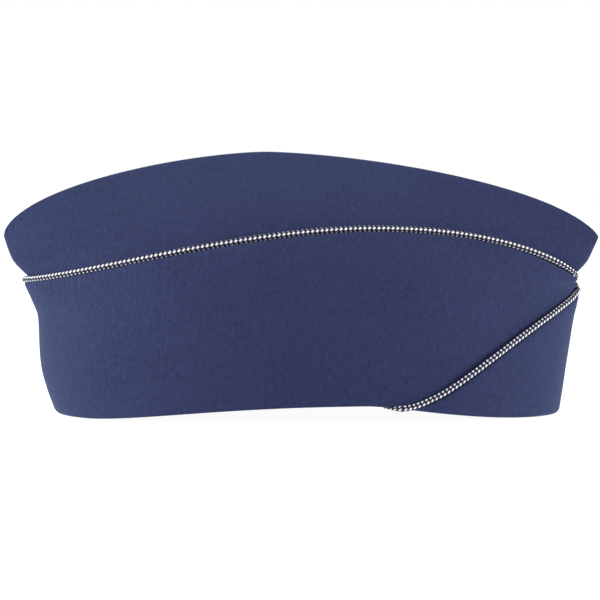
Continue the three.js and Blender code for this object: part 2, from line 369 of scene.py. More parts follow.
def section(rise, column):
    """A column of the table of rings, read smoothly at any rise."""
    rises, values = SECTIONS[:, RISE], SECTIONS[:, column]
    row = np.arange(len(rises))
    before = np.maximum(row - 1, 0)
    after = np.minimum(row + 1, len(rises) - 1)
    slopes = (values[after] - values[before]) / (rises[after] - rises[before])
    low = np.clip(np.searchsorted(rises, rise) - 1, 0, len(rises) - 2)
    span = rises[low + 1] - rises[low]
    u = (rise - rises[low]) / span
    return ((2 * u**3 - 3 * u**2 + 1) * values[low] + (u**3 - 2 * u**2 + u) * span * slopes[low]
            + (3 * u**2 - 2 * u**3) * values[low + 1] + (u**3 - u**2) * span * slopes[low + 1])


def height_on(arch, x):
    """The height of an arch at x."""
    behind = x < arch.peak_x
    end = End(*(np.where(behind, back, front) for back, front in zip(arch.back, arch.front)))
    away = np.minimum(1.0, np.abs((x - arch.peak_x) / (end.x - arch.peak_x)))
    return end.z + (arch.peak_z - end.z) * (1.0 - away**end.spread) ** end.round


def lean(rise, column, depth):
    """How much wider a leaning wall is when it is measured level."""
    low = np.maximum(rise - LEAN_REACH, 0.0)
    high = np.minimum(rise + LEAN_REACH, 1.0)
    shift = section(high, column) - section(low, column)
    return np.hypot(1.0, shift / ((high - low) * depth))


def by_half(turn, back, front):
    """One value in the back half of the cap, and another in its front half."""
    return np.where(np.cos(turn) > 0, back, front)


def along(turn, back_x, front_x):
    return WIDEST_X + (by_half(turn, back_x, front_x) - WIDEST_X) * np.abs(np.cos(turn))


def rim_height(turn):
    return height_on(RIM, along(turn, SECTIONS[0, BACK_X], SECTIONS[0, FRONT_X]))


def wall_height(turn):
    """The height from the rim to the ridge."""
    return height_on(RIDGE, along(turn, SECTIONS[-1, BACK_X], SECTIONS[-1, FRONT_X])) - rim_height(turn)


def ring(turn, rise, out=0.0, relief=0.0):
    """Points on the cap. turn goes from the centre back (0) along the right side to the centre front
    (pi), and along the left side at negative turns. out is the distance from the crown's outer face, and
    relief is a small rise or fall that is added to it. An inner face lies further in at the two tips."""
    turn, rise, out, relief = np.broadcast_arrays(turn, rise, out, relief)
    tip = np.where(out < 0, 1.0 + TIP_DEPTH * rise**TIP_POWER, 1.0)
    end_out = out * tip + relief
    back_x = section(rise, BACK_X) - end_out * lean(rise, BACK_X, END_DEPTH)
    front_x = section(rise, FRONT_X) + end_out * lean(rise, FRONT_X, END_DEPTH)
    taper = by_half(turn, 1.0, FRONT_TAPER)
    half_width = section(rise, HALF_WIDTH) + (out + relief) * lean(rise, HALF_WIDTH, SIDE_DEPTH)
    y = -np.sign(np.sin(turn)) * np.abs(np.sin(turn)) ** taper * half_width
    z = rim_height(turn) + wall_height(turn) * rise
    return np.stack((along(turn, back_x, front_x), y, z), axis=-1)


def last_true(limit, test):
    """For each limit, the greatest value below it for which the test still holds."""
    low = np.zeros_like(limit)
    high = limit.copy()
    for _ in range(HALVINGS):
        middle = (low + high) / 2
        held = test(middle)
        low = np.where(held, middle, low)
        high = np.where(held, high, middle)
    return low


def distances(points, axis):
    """The length travelled along one axis of a grid of points, from its start."""
    steps = np.linalg.norm(np.diff(points, axis=axis), axis=-1)
    start = np.zeros_like(np.take(steps, [0], axis=axis))
    return np.concatenate((start, np.cumsum(steps, axis=axis)), axis=axis)


# The curtain's layers, and the lines of its edges

def right_line(turn, x):
    """The height of the braid's centre on the right curtain, and on past the centre front."""
    tongue = RIGHT_EDGE.front.z - TONGUE_FALL * (turn - math.pi)
    dip = RIGHT_DIP * smooth_step(turn, math.pi - FRONT_DIP_TURN, math.pi)
    return np.where(turn <= math.pi, height_on(RIGHT_EDGE, x) - dip, tongue)


def left_line(turn, x):
    """The height of the braid's centre on the left curtain, and down the slanted edge."""
    share = np.maximum(-math.pi - turn, 0.0) / SLANT_TURN
    left = 1.0 - SLANT_FALL * share - SLANT_BEND * share**SLANT_POWER
    eased = (left + np.hypot(left, SLANT_SOFTEN)) / 2
    slant = blend(rim_height(turn), LEFT_EDGE.front.z, eased)
    dip = LEFT_DIP * smooth_step(-turn, math.pi - FRONT_DIP_TURN, math.pi)
    return np.where(turn >= -math.pi, height_on(LEFT_EDGE, x) - dip, slant)


def right_layer(turn, cloth):
    return np.full_like(turn, CURTAIN_INSIDE)


def settled(turn):
    """How far the flap has come back to the cloth under it, near its foot."""
    return smooth_step(-math.pi - turn, SETTLE_FROM, SETTLE_TO)


def left_layer(turn, cloth):
    """The left curtain steps out near the front, to lie over the right one's tongue."""
    stepped = 1.0 - smooth_step(turn + math.pi, STEP_OUT_TO, STEP_OUT_FROM)
    lifted = smooth_step(-math.pi - turn, 0.0, FLAP_LIFT_BY) - settled(turn)
    return CURTAIN_INSIDE + (cloth.curtain_wall + 2 * GAP) * stepped + cloth.flap_lift * lifted


def right_hem(turn):
    return np.ones_like(turn)


def left_hem(turn):
    """None of the hem is turned under where the left curtain lies over the right one."""
    return smooth_step(turn + math.pi, HEM_FADE_TO, HEM_FADE_FROM)


Half = namedtuple("Half", "line layer hem")
RIGHT_HALF = Half(right_line, right_layer, right_hem)
LEFT_HALF = Half(left_line, left_layer, left_hem)


def braid_radius(turn, braid):
    """The braid is drawn thin round the front, and less so down the slanted edge."""
    radius = blend(braid.radius, braid.front_radius, smooth_step(np.abs(turn), THIN_FROM, THIN_FULLY))
    return blend(radius, braid.slant_radius, smooth_step(-math.pi - turn, THICK_FROM, THICK_FULLY))


def braid_out(turn, half, cloth, braid):
    """The braid is clear of the layer below it, and stands a little proud of the cloth that it edges,
    most of all where the flap goes round the front."""
    radius = braid_radius(turn, braid)
    clear = radius + GAP - CURTAIN_INSIDE
    proud = cloth.curtain_wall + braid.proud - radius
    at_front = 1.0 - smooth_step(np.abs(turn + math.pi), 0.0, FRONT_FULL_TURN)
    full = FRONT_FULL * cloth.end_fullness * at_front
    return half.layer(turn, cloth) + blend(np.maximum(clear, proud), clear, settled(turn)) + full


def braid_rise(turn, half, out):
    def below(rise):
        point = ring(turn, rise, out)
        return point[..., 2] < half.line(turn, point[..., 0])

    return last_true(np.ones_like(turn), below)


def braid_point(turn, half, cloth, braid):
    out = braid_out(turn, half, cloth, braid)
    return ring(turn, braid_rise(turn, half, out), out)


def edge_rise(turn, half, cloth, braid):
    """The rise of the cloth's edge, whose whole thickness is just clear of the braid that sits on it."""
    centre = braid_point(turn, half, cloth, braid)
    heading = braid_point(turn + SMALL_TURN, half, cloth, braid) - centre
    heading /= np.linalg.norm(heading, axis=-1, keepdims=True)
    inside = half.layer(turn, cloth)
    depths = [inside + cloth.curtain_wall * share for share in EDGE_SHARES]

    def clear(rise):
        held = np.ones(turn.shape, bool)
        for out in depths:
            away = ring(turn, rise, out) - centre
            away -= heading * np.sum(away * heading, axis=-1, keepdims=True)
            held &= np.linalg.norm(away, axis=-1) > braid_radius(turn, braid) + EDGE_GAP
        return held

    return last_true(braid_rise(turn, half, braid_out(turn, half, cloth, braid)), clear)


# The cloth's own relief

def drape(turn, rise, cloth):
    """Broad, shallow waves in the cloth."""
    long, cross, short = (np.sin(wave.turn * turn + wave.rise * rise + wave.start)
                          for wave in (LONG_WAVE, CROSS_WAVE, SHORT_WAVE))
    return cloth.drape * (long * cross + SHORT_WAVE_SHARE * short * rise)


def near_ends(turn, begin):
    """How near a turn is to the centre back or centre front, from the cosine at which this begins."""
    return smooth_step(np.abs(np.cos(turn)), begin, 1.0)


def fullness(turn, rise, cloth):
    """The curtain stands out below its edge at the centre back and the centre front."""
    return cloth.end_fullness * near_ends(turn, FULL_END) * smooth_step(rise, FULL_FROM, FULL_TO)


def travel_to_back(turn):
    """The distance from the seam at the centre back, for turns near it."""
    return np.abs(np.sin(turn)) * SECTIONS[0, HALF_WIDTH] + by_half(turn, 0.0, FAR_FROM_SEAM)


def slanted(distance, cloth):
    """How far the inner face is shifted beside a seam, which makes the two cut edges slanted."""
    return SEAM_SLANT * np.exp(-(distance / cloth.seam_width) ** 2)


def groove(distance, cloth):
    """How far the cloth rolls in at a seam that lies at this distance."""
    return cloth.seam_depth * np.exp(-(distance / cloth.seam_width) ** 2)


def puckers(travel, distance, cloth):
    """Small ripples along the row of sewing beside an edge that lies at this distance."""
    drift = np.sin(travel / cloth.pucker_pitch * PUCKER_DRIFT_RATE)
    uneven = travel + PUCKER_DRIFT * cloth.pucker_pitch * drift
    fade = np.exp(-((distance - cloth.sewing_inset) / cloth.pucker_reach) ** 2)
    return cloth.pucker_depth * np.sin(2 * math.pi * uneven / cloth.pucker_pitch) * fade


def rolled_rows(length, wall, rows):
    """Places of a cloth's rows from 0 to length, and the share of its thickness at each, so that both
    edges are round."""
    row = np.arange(rows + 1)
    angle = np.minimum(np.minimum(row, rows - row) / EDGE_ROWS, 1.0) * math.pi / 2
    roll = (1.0 - np.cos(angle)) * wall / 2
    share = np.clip((row - EDGE_ROWS) / (rows - 2 * EDGE_ROWS), 0.0, 1.0)
    inner = wall / 2 + (length - wall) * share
    place = np.where(share <= 0, roll, np.where(share >= 1, length - roll, inner))
    return place, np.sin(angle)


def crown_faces(cloth, side):
    """The outer and inner faces of one side panel of the crown, as grids of points."""
    wall = cloth.crown_wall
    turn = side * np.linspace(0.0, math.pi, CROWN_COLUMNS + 1)[:, None]
    height = wall_height(turn)
    foot = cloth.curtain_wall + GAP
    place, thick = rolled_rows(height - foot, wall, CROWN_ROWS)
    rise = (foot + place) / height
    middle = ring(turn, rise)
    travel = distances(middle, 0)
    from_seam = np.minimum(travel, travel[-1] - travel)
    from_ridge = distances(middle[:, ::-1], 1)[:, ::-1]
    exposed = smooth_step(rise, BARE_FROM, BARE_FULLY)
    relief = (drape(turn, rise, cloth) * smooth_step(from_ridge, 0.0, RIDGE_FADE)
              - groove(from_seam, cloth) + puckers(travel, from_ridge, cloth)) * exposed
    relief -= wall / 2 * (1.0 - thick)
    faces = [ring(turn, rise, out, relief) for out in (0.0, -wall * thick)]
    for points in faces:
        points[..., 1] -= side * SEAM_GAP
    faces[1][..., 1] += slanted(from_seam, cloth)
    return faces


def curtain_faces(cloth, braid, half, turns):
    """The outer and inner faces of half of the curtain: the hem under the crown, the fold, then the
    wall."""
    wall = cloth.curtain_wall
    turn = turns[:, None]
    height = wall_height(turn)
    top = edge_rise(turn, half, cloth, braid) * height
    inside = half.layer(turn, cloth)
    hem_end = blend(inside - GAP, CURTAIN_INSIDE - cloth.hem_width, half.hem(turn))
    row = np.arange(HEM_ROWS + FOLD_ROWS + WALL_ROWS + 1)
    hem_share = np.clip(row / HEM_ROWS, 0.0, 1.0)
    fold = (np.clip((row - HEM_ROWS) / FOLD_ROWS, 0.0, 1.0) - 1.0) * math.pi / 2
    wall_row = row - HEM_ROWS - FOLD_ROWS
    place, thick = rolled_rows(top, wall, 2 * WALL_ROWS)
    upper = np.maximum(wall_row, 0) + WALL_ROWS
    edge_thick = np.where(wall_row > 0, thick[upper], 1.0)
    wall_share = (place[:, upper] - place[:, [WALL_ROWS]]) / (place[:, [-1]] - place[:, [WALL_ROWS]])

    def face(corner, base, radius):
        base = np.minimum(base, HIGHEST_FOLD * top)
        radius = np.minimum(radius, WIDEST_FOLD * top)
        centre = corner - radius
        start = np.minimum(hem_end, centre)
        out = np.where(row <= HEM_ROWS, blend(start, centre, hem_share), centre + radius * np.cos(fold))
        bend = base + radius * (1.0 + np.sin(fold))
        return out, np.where(wall_row > 0, blend(base + radius, top, wall_share), bend)

    roll = blend(cloth.hem_roll, cloth.end_roll, near_ends(turn, ROLL_END))
    outer = face(inside + wall, 0.0, roll)
    inner = face(inside, wall, GAP / 2)
    middle = ring(turn, outer[1] / height, outer[0])
    travel = distances(middle, 0)
    below_edge = distances(middle[:, ::-1], 1)[:, ::-1]
    on_wall = smooth_step(outer[1], WALL_FROM, WALL_FULLY)
    away = smooth_step(below_edge, 0.0, FULL_BELOW)
    relief = (np.abs(drape(turn, outer[1] / height, cloth)) * on_wall
              + puckers(travel, below_edge, cloth) * on_wall - groove(travel_to_back(turn), cloth)
              + fullness(turn, outer[1] / height, cloth) * by_half(turn, 1.0, away))
    core = (outer[0] + inner[0]) / 2
    faces = []
    for out, lift in (outer, inner):
        closed = core + (out - core) * edge_thick + relief
        faces.append(ring(turn, lift / height, closed))
    faces[1][..., 1] += slanted(travel_to_back(turn), cloth)
    return faces


def gusset_faces(cloth):
    """The two faces of the strip that is folded down between the ridges."""
    turn = np.linspace(GUSSET_END_TURN, math.pi - GUSSET_END_TURN, GUSSET_COLUMNS + 1)[:, None]
    ridge = ring(turn, 1.0, -cloth.crown_wall)
    dip = cloth.gusset_dip * np.sin(turn) ** GUSSET_DIP_POWER
    inside = ring(turn, 1.0 - cloth.crown_wall / 2 / wall_height(turn), -cloth.crown_wall)
    reach = np.abs(inside[..., 1])
    half_open = reach - GUSSET_GAP - cloth.gusset_wall / 2 * dip / np.hypot(reach, dip)
    leg = np.hypot(half_open, dip)
    place, thick = rolled_rows(2 * leg, cloth.gusset_wall, GUSSET_ROWS)
    across = place / leg - 1.0
    fold = np.hypot(across, GUSSET_FOLD) - GUSSET_FOLD * (1.0 - np.abs(across))
    drop = GAP + dip * (1.0 - fold)
    faces = []
    for way in (1, -1):
        lift = way * cloth.gusset_wall / 2 * thick - cloth.gusset_wall / 2
        y = across * half_open - np.sign(across) * lift * dip / leg
        z = ridge[..., 2] - drop + lift * half_open / leg
        faces.append(np.stack((np.broadcast_to(ridge[..., 0], z.shape), y, z), axis=-1))
    return faces


# Meshes

def finish_piece(bm, name, material, node=None):
    """Makes an object of a bmesh and ties it to the frame."""
    mesh = bpy.data.meshes.new(name)
    bm.to_mesh(mesh)
    bm.free()
    mesh.shade_smooth()
    mesh.set_sharp_from_angle(angle=SHARP_ANGLE)
    mesh.materials.append(material)
    piece = bpy.data.objects.new(name, mesh)
    bpy.context.scene.collection.objects.link(piece)
    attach(piece, BODY)
    if node:
        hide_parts(node)
    return piece


def grid_place(vert, columns, rows):
    """The column and the row of a vertex in a grid that is still flat."""
    return round((vert.co.x + HALF_GRID) * columns), round((vert.co.y + HALF_GRID) * rows)


def sewn_sheet(outer, inner):
    """A closed cloth: a flat grid is thickened, then moved on to the two faces."""
    columns, rows = outer.shape[0] - 1, outer.shape[1] - 1
    up = distances(outer, 1)
    travel = distances(outer, 0)
    travel -= travel[columns // 2]
    bm = bmesh.new()
    weave = bm.verts.layers.float_vector.new("weave")
    bmesh.ops.create_grid(bm, x_segments=columns, y_segments=rows, size=HALF_GRID)
    bmesh.ops.solidify(bm, geom=bm.faces[:], thickness=FLAT_THICKNESS)
    level = max(vert.co.z for vert in bm.verts)
    for vert in bm.verts:
        i, j = grid_place(vert, columns, rows)
        faces = outer if level - vert.co.z < FLAT_THICKNESS / 2 else inner
        vert.co = faces[i, j]
        vert[weave] = (travel[i, j], up[i, j], 0.0)
    bmesh.ops.remove_doubles(bm, verts=bm.verts[:], dist=SAME_PLACE)
    if bm.calc_volume(signed=True) < 0:
        bmesh.ops.reverse_faces(bm, faces=bm.faces[:])
    return bm


def strand_tube(bm, centre, radial, sideways, thickness, width, over):
    """Adds a tube with an oval section along a line of points. over is 1 where it lies on top of the
    weave, and -1 where it lies under."""
    columns = len(centre) - 1
    angle = np.linspace(0.0, 2 * math.pi, STRAND_SIDES + 1)[None, :, None]
    skin = (centre[:, None] + radial[:, None] * np.cos(angle) * thickness / 2
            + sideways[:, None] * np.sin(angle) * width / 2)
    run = distances(centre, 0)
    lay = bm.verts.layers.float_vector["lay"]
    made = bmesh.ops.create_grid(
        bm, x_segments=columns, y_segments=STRAND_SIDES, size=HALF_GRID)["verts"]
    for vert in made:
        i, j = grid_place(vert, columns, STRAND_SIDES)
        vert.co = skin[i, j]
        # The second and third values place the painted shade on the strand's flanks and where it lies
        # under
        vert[lay] = (run[i], math.cos(angle[0, j, 0]), over[i])
    bmesh.ops.remove_doubles(bm, verts=made, dist=SAME_PLACE)


# Materials

def set_inputs(tree, node, inputs):
    """Sets or links a node's inputs, by name or number."""
    for name, value in inputs.items():
        if isinstance(value, bpy.types.NodeSocket):
            tree.links.new(value, node.inputs[name])
        else:
            node.inputs[name].default_value = value


def add_node(tree, kind, inputs=None, **settings):
    made = tree.nodes.new(kind)
    for name, value in settings.items():
        setattr(made, name, value)
    set_inputs(tree, made, inputs or {})
    return made


def new_group(name, inputs, outputs):
    """An empty shader node group with named sockets, and its input and output nodes."""
    group = bpy.data.node_groups.new(name, "ShaderNodeTree")
    for label, kind in inputs:
        group.interface.new_socket(label, in_out="INPUT", socket_type=kind)
    for label, kind in outputs:
        group.interface.new_socket(label, in_out="OUTPUT", socket_type=kind)
    return group, group.nodes.new("NodeGroupInput"), group.nodes.new("NodeGroupOutput")


def math_node(tree, operation, first, second):
    return add_node(tree, "ShaderNodeMath", {0: first, 1: second}, operation=operation).outputs[0]


def gabardine_group():
    """Twill lines, slubs and mottling of a fine steep twill, from the cloth's own coordinates."""
    if "gabardine" in bpy.data.node_groups:
        return bpy.data.node_groups["gabardine"]
    group, given, result = new_group(
        "gabardine",
        [("Weave", "NodeSocketVector"), ("Twill Pitch", "NodeSocketFloat")],
        [("Mottle", "NodeSocketFloat"), ("Height", "NodeSocketFloat")])
    weave = given.outputs["Weave"]
    steep = add_node(group, "ShaderNodeMapping", {"Vector": weave, "Rotation": (0, 0, TWILL_ANGLE)})
    lines = math_node(group, "DIVIDE", WAVE_PERIOD, given.outputs["Twill Pitch"])
    twill = add_node(group, "ShaderNodeTexWave", {
        "Vector": steep.outputs[0], "Scale": lines, "Distortion": 1.2, "Detail": 1.0,
        "Detail Scale": 1.5}, wave_type="BANDS", bands_direction="X")
    upright = add_node(group, "ShaderNodeMapping", {"Vector": weave, "Scale": (1.0, 0.45, 1.0)})
    slubs = add_node(group, "ShaderNodeTexNoise", {
        "Vector": upright.outputs[0], "Scale": SLUBS, "Detail": 2.0, "Roughness": 0.6})
    clouds = add_node(group, "ShaderNodeTexNoise", {
        "Vector": upright.outputs[0], "Scale": CLOUDS, "Detail": 3.0, "Roughness": 0.55})
    patches = add_node(group, "ShaderNodeTexNoise", {"Vector": weave, "Scale": PATCHES, "Detail": 2.0})
    fine = math_node(group, "MULTIPLY", slubs.outputs[0], SLUB_SHARE)
    medium = math_node(group, "MULTIPLY", clouds.outputs[0], CLOUD_SHARE)
    broad = math_node(group, "MULTIPLY", patches.outputs[0], PATCH_SHARE)
    lined = math_node(group, "MULTIPLY", twill.outputs["Fac"], TWILL_SHARE)
    mottle = math_node(group, "ADD", math_node(group, "ADD", fine, medium),
                       math_node(group, "ADD", broad, lined))
    raised = math_node(group, "ADD", math_node(group, "MULTIPLY", twill.outputs["Fac"], TWILL_HEIGHT),
                       math_node(group, "MULTIPLY", slubs.outputs[0], SLUB_HEIGHT))
    set_inputs(group, result, {"Mottle": mottle, "Height": raised})
    return group


def new_material(name):
    material = bpy.data.materials.new(name)
    material.use_nodes = True
    return material, material.node_tree, material.node_tree.nodes["Principled BSDF"]


def scaled(colour, factor):
    return (*(min(1.0, channel * factor) for channel in colour), 1.0)


def cloth_material(name, colour, cloth):
    """Matt gabardine: mottled blue with fine raised twill lines and a soft nap."""
    material, tree, shader = new_material(name)
    weave = add_node(tree, "ShaderNodeAttribute", attribute_name="weave")
    twill = add_node(tree, "ShaderNodeGroup", {
        "Weave": weave.outputs["Vector"], "Twill Pitch": cloth.twill_pitch}, node_tree=gabardine_group())
    spread = add_node(tree, "ShaderNodeMapRange", {
        "Value": twill.outputs["Mottle"], "From Min": 0.3, "From Max": 0.7}).outputs[0]
    shade = add_node(tree, "ShaderNodeMixRGB", {
        "Fac": spread, "Color1": scaled(colour, DARK_CLOTH), "Color2": scaled(colour, LIGHT_CLOTH)})
    rough = add_node(tree, "ShaderNodeMapRange", {"Value": spread, "To Min": 0.95, "To Max": 0.78})
    bump = add_node(tree, "ShaderNodeBump", {
        "Height": twill.outputs["Height"], "Strength": 0.45, "Distance": 0.00015})
    set_inputs(tree, shader, {
        "Base Color": shade.outputs[0], "Roughness": rough.outputs[0], "Normal": bump.outputs[0],
        "Specular IOR Level": 0.25, "Sheen Weight": 0.17, "Sheen Roughness": 0.45, "Sheen Tint": NAP_TINT})
    return material


def crown_material(cloth):
    name = "crown_gabardine"
    # The crown's slightly darker colour is painted shade
    return bpy.data.materials.get(name) or cloth_material(name, cloth.crown_colour, cloth)


def thread_group():
    """The fine twisted filaments of a braid strand, and where shade is painted on it, from its own
    coordinates.
    """
    if "filaments" in bpy.data.node_groups:
        return bpy.data.node_groups["filaments"]
    group, given, result = new_group(
        "filaments", [("Lay", "NodeSocketVector")],
        [("Tint", "NodeSocketFloat"), ("Crest", "NodeSocketFloat"), ("Height", "NodeSocketFloat")])
    lay = given.outputs["Lay"]
    stretched = add_node(group, "ShaderNodeMapping", {"Vector": lay, "Scale": (FILAMENTS, 1.2, 0.0)})
    strands = add_node(group, "ShaderNodeTexWave", {
        "Vector": stretched.outputs[0], "Scale": 1.0, "Distortion": 1.0, "Detail": 1.0},
        wave_type="BANDS", bands_direction="DIAGONAL")
    along_strand = add_node(group, "ShaderNodeMapping", {"Vector": lay, "Scale": (TINTS, 0.0, 0.0)})
    tint = add_node(group, "ShaderNodeTexNoise", {"Vector": along_strand.outputs[0], "Scale": 1.0})
    parts = add_node(group, "ShaderNodeSeparateXYZ", {0: lay}).outputs
    # Mask for painted shade: 1 on the outer middle of a strand where it lies over, 0 on its flanks and
    # where it lies under
    outward = add_node(group, "ShaderNodeMapRange", {
        "Value": parts["Y"], "From Min": 0.35, "From Max": 0.8})
    over = add_node(group, "ShaderNodeMapRange", {
        "Value": parts["Z"], "From Min": -0.3, "From Max": 0.5})
    unshaded_share = math_node(group, "MULTIPLY", outward.outputs[0], over.outputs[0])
    set_inputs(group, result, {"Tint": tint.outputs[0], "Crest": unshaded_share, "Height": strands.outputs["Fac"]})
    return group


def thread_material(name, colour, other_colour, metallic, roughness):
    """Twisted thread, with a second colour that comes and goes along the strand, and painted shade on its
    flanks.
    """
    material, tree, shader = new_material(name)
    lay = add_node(tree, "ShaderNodeAttribute", attribute_name="lay")
    thread = add_node(tree, "ShaderNodeGroup", {"Lay": lay.outputs["Vector"]}, node_tree=thread_group())
    spread = add_node(tree, "ShaderNodeMapRange", {
        "Value": thread.outputs["Tint"], "From Min": 0.5, "From Max": 0.72})
    shade = add_node(tree, "ShaderNodeMixRGB", {
        "Fac": spread.outputs[0], "Color1": (*colour, 1.0), "Color2": (*other_colour, 1.0)})
    # Painted shade: the flanks, and the parts that lie under, take a darkened copy of the strand's colour
    lit = add_node(tree, "ShaderNodeMixRGB", {
        "Fac": thread.outputs["Crest"], "Color1": scaled(colour, PAINTED_FLANK_SHADE),
        "Color2": shade.outputs[0]})
    bump = add_node(tree, "ShaderNodeBump", {
        "Height": thread.outputs["Height"], "Strength": 0.25, "Distance": 0.00005})
    set_inputs(tree, shader, {
        "Base Color": lit.outputs[0], "Normal": bump.outputs[0], "Metallic": metallic,
        "Specular IOR Level": 0.3, "Roughness": roughness})
    return material


def floor_material(colour, glow):
    """A plain white light table with a very faint unevenness."""
    material, tree, shader = new_material("pale_floor")
    place = add_node(tree, "ShaderNodeTexCoord")
    cloud = add_node(tree, "ShaderNodeTexNoise", {"Vector": place.outputs["Object"], "Scale": 9.0})
    shade = add_node(tree, "ShaderNodeMixRGB", {
        "Fac": cloud.outputs[0], "Color1": scaled(colour, 1.0 - FLOOR_CLOUD),
        "Color2": scaled(colour, 1.0 + FLOOR_CLOUD)})
    set_inputs(tree, shader, {
        "Base Color": shade.outputs[0], "Roughness": 0.9, "Specular IOR Level": 0.1,
        "Emission Color": (*WHITE_LIGHT, 1.0), "Emission Strength": glow})
    return material


# The braid

Route = namedtuple("Route", "run centre level upward roll size")


def unit(vectors):
    return vectors / np.linalg.norm(vectors, axis=-1, keepdims=True)


def braid_route(cloth, braid):
    """The braid's centre line in even steps: from the tucked front end along the right side, round the
    back, along the left side and down the slanted edge to the end under the rim."""
    right = np.linspace(math.pi + FRONT_TUCK_TURN, 0.0, ROUTE_POINTS // 2, endpoint=False)
    left = np.linspace(0.0, -math.pi - RIM_TUCK_TO, ROUTE_POINTS // 2)
    under_flap = smooth_step(right - math.pi, 0.0, FRONT_TUCK_TURN / 2)
    under_rim = smooth_step(-math.pi - left, RIM_TUCK_FROM, RIM_TUCK_TO)
    turn = np.concatenate((right, left))
    full = braid_radius(turn, braid) / braid.radius
    size = np.concatenate((blend(full[:len(right)], FRONT_TUCKED_SIZE, under_flap),
                           blend(full[len(right):], RIM_TUCKED_SIZE, under_rim)))
    roll = blend(braid.side_roll + braid.roll_sway * np.cos(2 * turn), braid.slant_roll,
                 smooth_step(-turn, SLANT_ROLL_FROM, SLANT_ROLL_FULLY))
    tucked = FRONT_TUCKED_SIZE * braid.radius + GAP
    out = blend(braid_out(right, RIGHT_HALF, cloth, braid), tucked, under_flap)
    front = ring(right, braid_rise(right, RIGHT_HALF, out), out)
    out = braid_out(left, LEFT_HALF, cloth, braid)
    rise = braid_rise(left, LEFT_HALF, out)
    back = ring(left, rise, blend(out, 0.0, under_rim))
    sunk = smooth_step(-math.pi - left, RIM_SINK_FROM, RIM_SINK_TO)
    back[:, 2] = blend(back[:, 2], rim_height(left) - RIM_SINK, sunk)
    points = np.concatenate((front, back))
    travelled = distances(points, 0)
    step = braid.lead / braid.strands / STRAND_STEPS
    run = np.arange(0.0, travelled[-1], step)
    centre = np.stack([np.interp(run, travelled, points[:, axis]) for axis in range(3)], axis=-1)
    heading = unit(np.gradient(centre, axis=0))
    upward = unit(np.array((0.0, 0.0, 1.0)) - heading * heading[:, 2:])
    level = np.cross(upward, heading)
    roll, size = (np.interp(run, travelled, values) for values in (roll, size))
    return Route(run, centre, level, upward, roll, size)


def add_strand(bm, route, braid, number, way, width):
    """One strand of the braid: silver (way -1) and black (way 1) pass over each other in turn."""
    phase = way * 2 * math.pi * route.run / braid.lead + 2 * math.pi * number / braid.strands
    angle = (phase + route.roll)[:, None]
    radial = route.level * np.cos(angle) + route.upward * np.sin(angle)
    over = -way * np.cos(braid.strands * phase)
    radius = (braid.radius - braid.strand_thickness * (1.0 - over / 2)) * route.size
    centre = route.centre + radial * radius[:, None]
    heading = unit(np.gradient(centre, axis=0))
    sideways = unit(np.cross(heading, radial))
    radial = np.cross(sideways, heading)
    size = route.size[:, None, None]
    strand_tube(bm, centre, radial, sideways, braid.strand_thickness * size, width * size, over)


def add_core(bm, route, braid):
    """The core that fills the braid."""
    inset = CORE_INSET * braid.strand_thickness
    width = 2 * (braid.radius - inset) * route.size[::STRAND_STEPS, None, None]
    centre, level, upward = (part[::STRAND_STEPS] for part in (route.centre, route.level, route.upward))
    # The core counts as lying under everywhere, so it takes the painted shade throughout
    strand_tube(bm, centre, level, upward, width, width, -np.ones(len(centre)))


def start_strands():
    bm = bmesh.new()
    bm.verts.layers.float_vector.new("lay")
    return bm


def close_ends(bm):
    bmesh.ops.holes_fill(bm, edges=[edge for edge in bm.edges if edge.is_boundary], sides=0)
    bmesh.ops.recalc_face_normals(bm, faces=bm.faces[:])


# The stage

def add_floor(stage):
    bm = bmesh.new()
    bmesh.ops.create_grid(bm, x_segments=FLOOR_SEGMENTS, y_segments=FLOOR_SEGMENTS, size=FLOOR_HALF_SIDE)
    bmesh.ops.translate(bm, verts=bm.verts[:], vec=(0.0, 0.0, CAD_BOX[0].z - FLOOR_DROP))
    mesh = bpy.data.meshes.new("floor")
    bm.to_mesh(mesh)
    bm.free()
    mesh.materials.append(floor_material(stage.floor_colour, stage.floor_glow))
    floor = bpy.data.objects.new("floor", mesh)
    bpy.context.scene.collection.objects.link(floor)
    floor.visible_diffuse = False
    floor.visible_glossy = False
    floor.visible_shadow = False


def add_sky(scene, stage):
    """A white sky that is brightest near the horizon."""
    world = bpy.data.worlds.new("white_sky")
    world.use_nodes = True
    tree = world.node_tree
    sky = tree.nodes["Background"]
    way = add_node(tree, "ShaderNodeTexCoord")
    height = add_node(tree, "ShaderNodeSeparateXYZ", {0: way.outputs["Generated"]}).outputs["Z"]
    over = add_node(tree, "ShaderNodeMapRange", {
        "Value": height, "From Min": SKY_LOW, "From Max": SKY_HIGH,
        "To Min": 1.0, "To Max": stage.overhead_share})
    under = add_node(tree, "ShaderNodeMapRange", {
        "Value": height, "From Min": -SKY_HIGH, "From Max": -SKY_LOW,
        "To Min": stage.underneath_share, "To Max": 1.0})
    share = math_node(tree, "MULTIPLY", over.outputs[0], under.outputs[0])
    strength = math_node(tree, "MULTIPLY", share, stage.sky_strength)
    set_inputs(tree, sky, {"Color": (*WHITE_LIGHT, 1.0), "Strength": strength})
    scene.world = world
    scene.view_settings.view_transform = "Standard"


def aimed(thing, place, target):
    thing.location = place
    thing.rotation_euler = (Vector(target) - Vector(place)).to_track_quat("-Z", "Y").to_euler()
    bpy.context.scene.collection.objects.link(thing)


def add_softbox(name, softbox, stage):
    light = bpy.data.lights.new(name, "AREA")
    light.color = softbox.colour
    light.shape = "RECTANGLE"
    light.size = softbox.width
    light.size_y = softbox.height
    light.energy = getattr(stage, softbox.power)
    aimed(bpy.data.objects.new(name, light), softbox.place, (0.0, 0.0, CAD_BOX[1].z / 2))


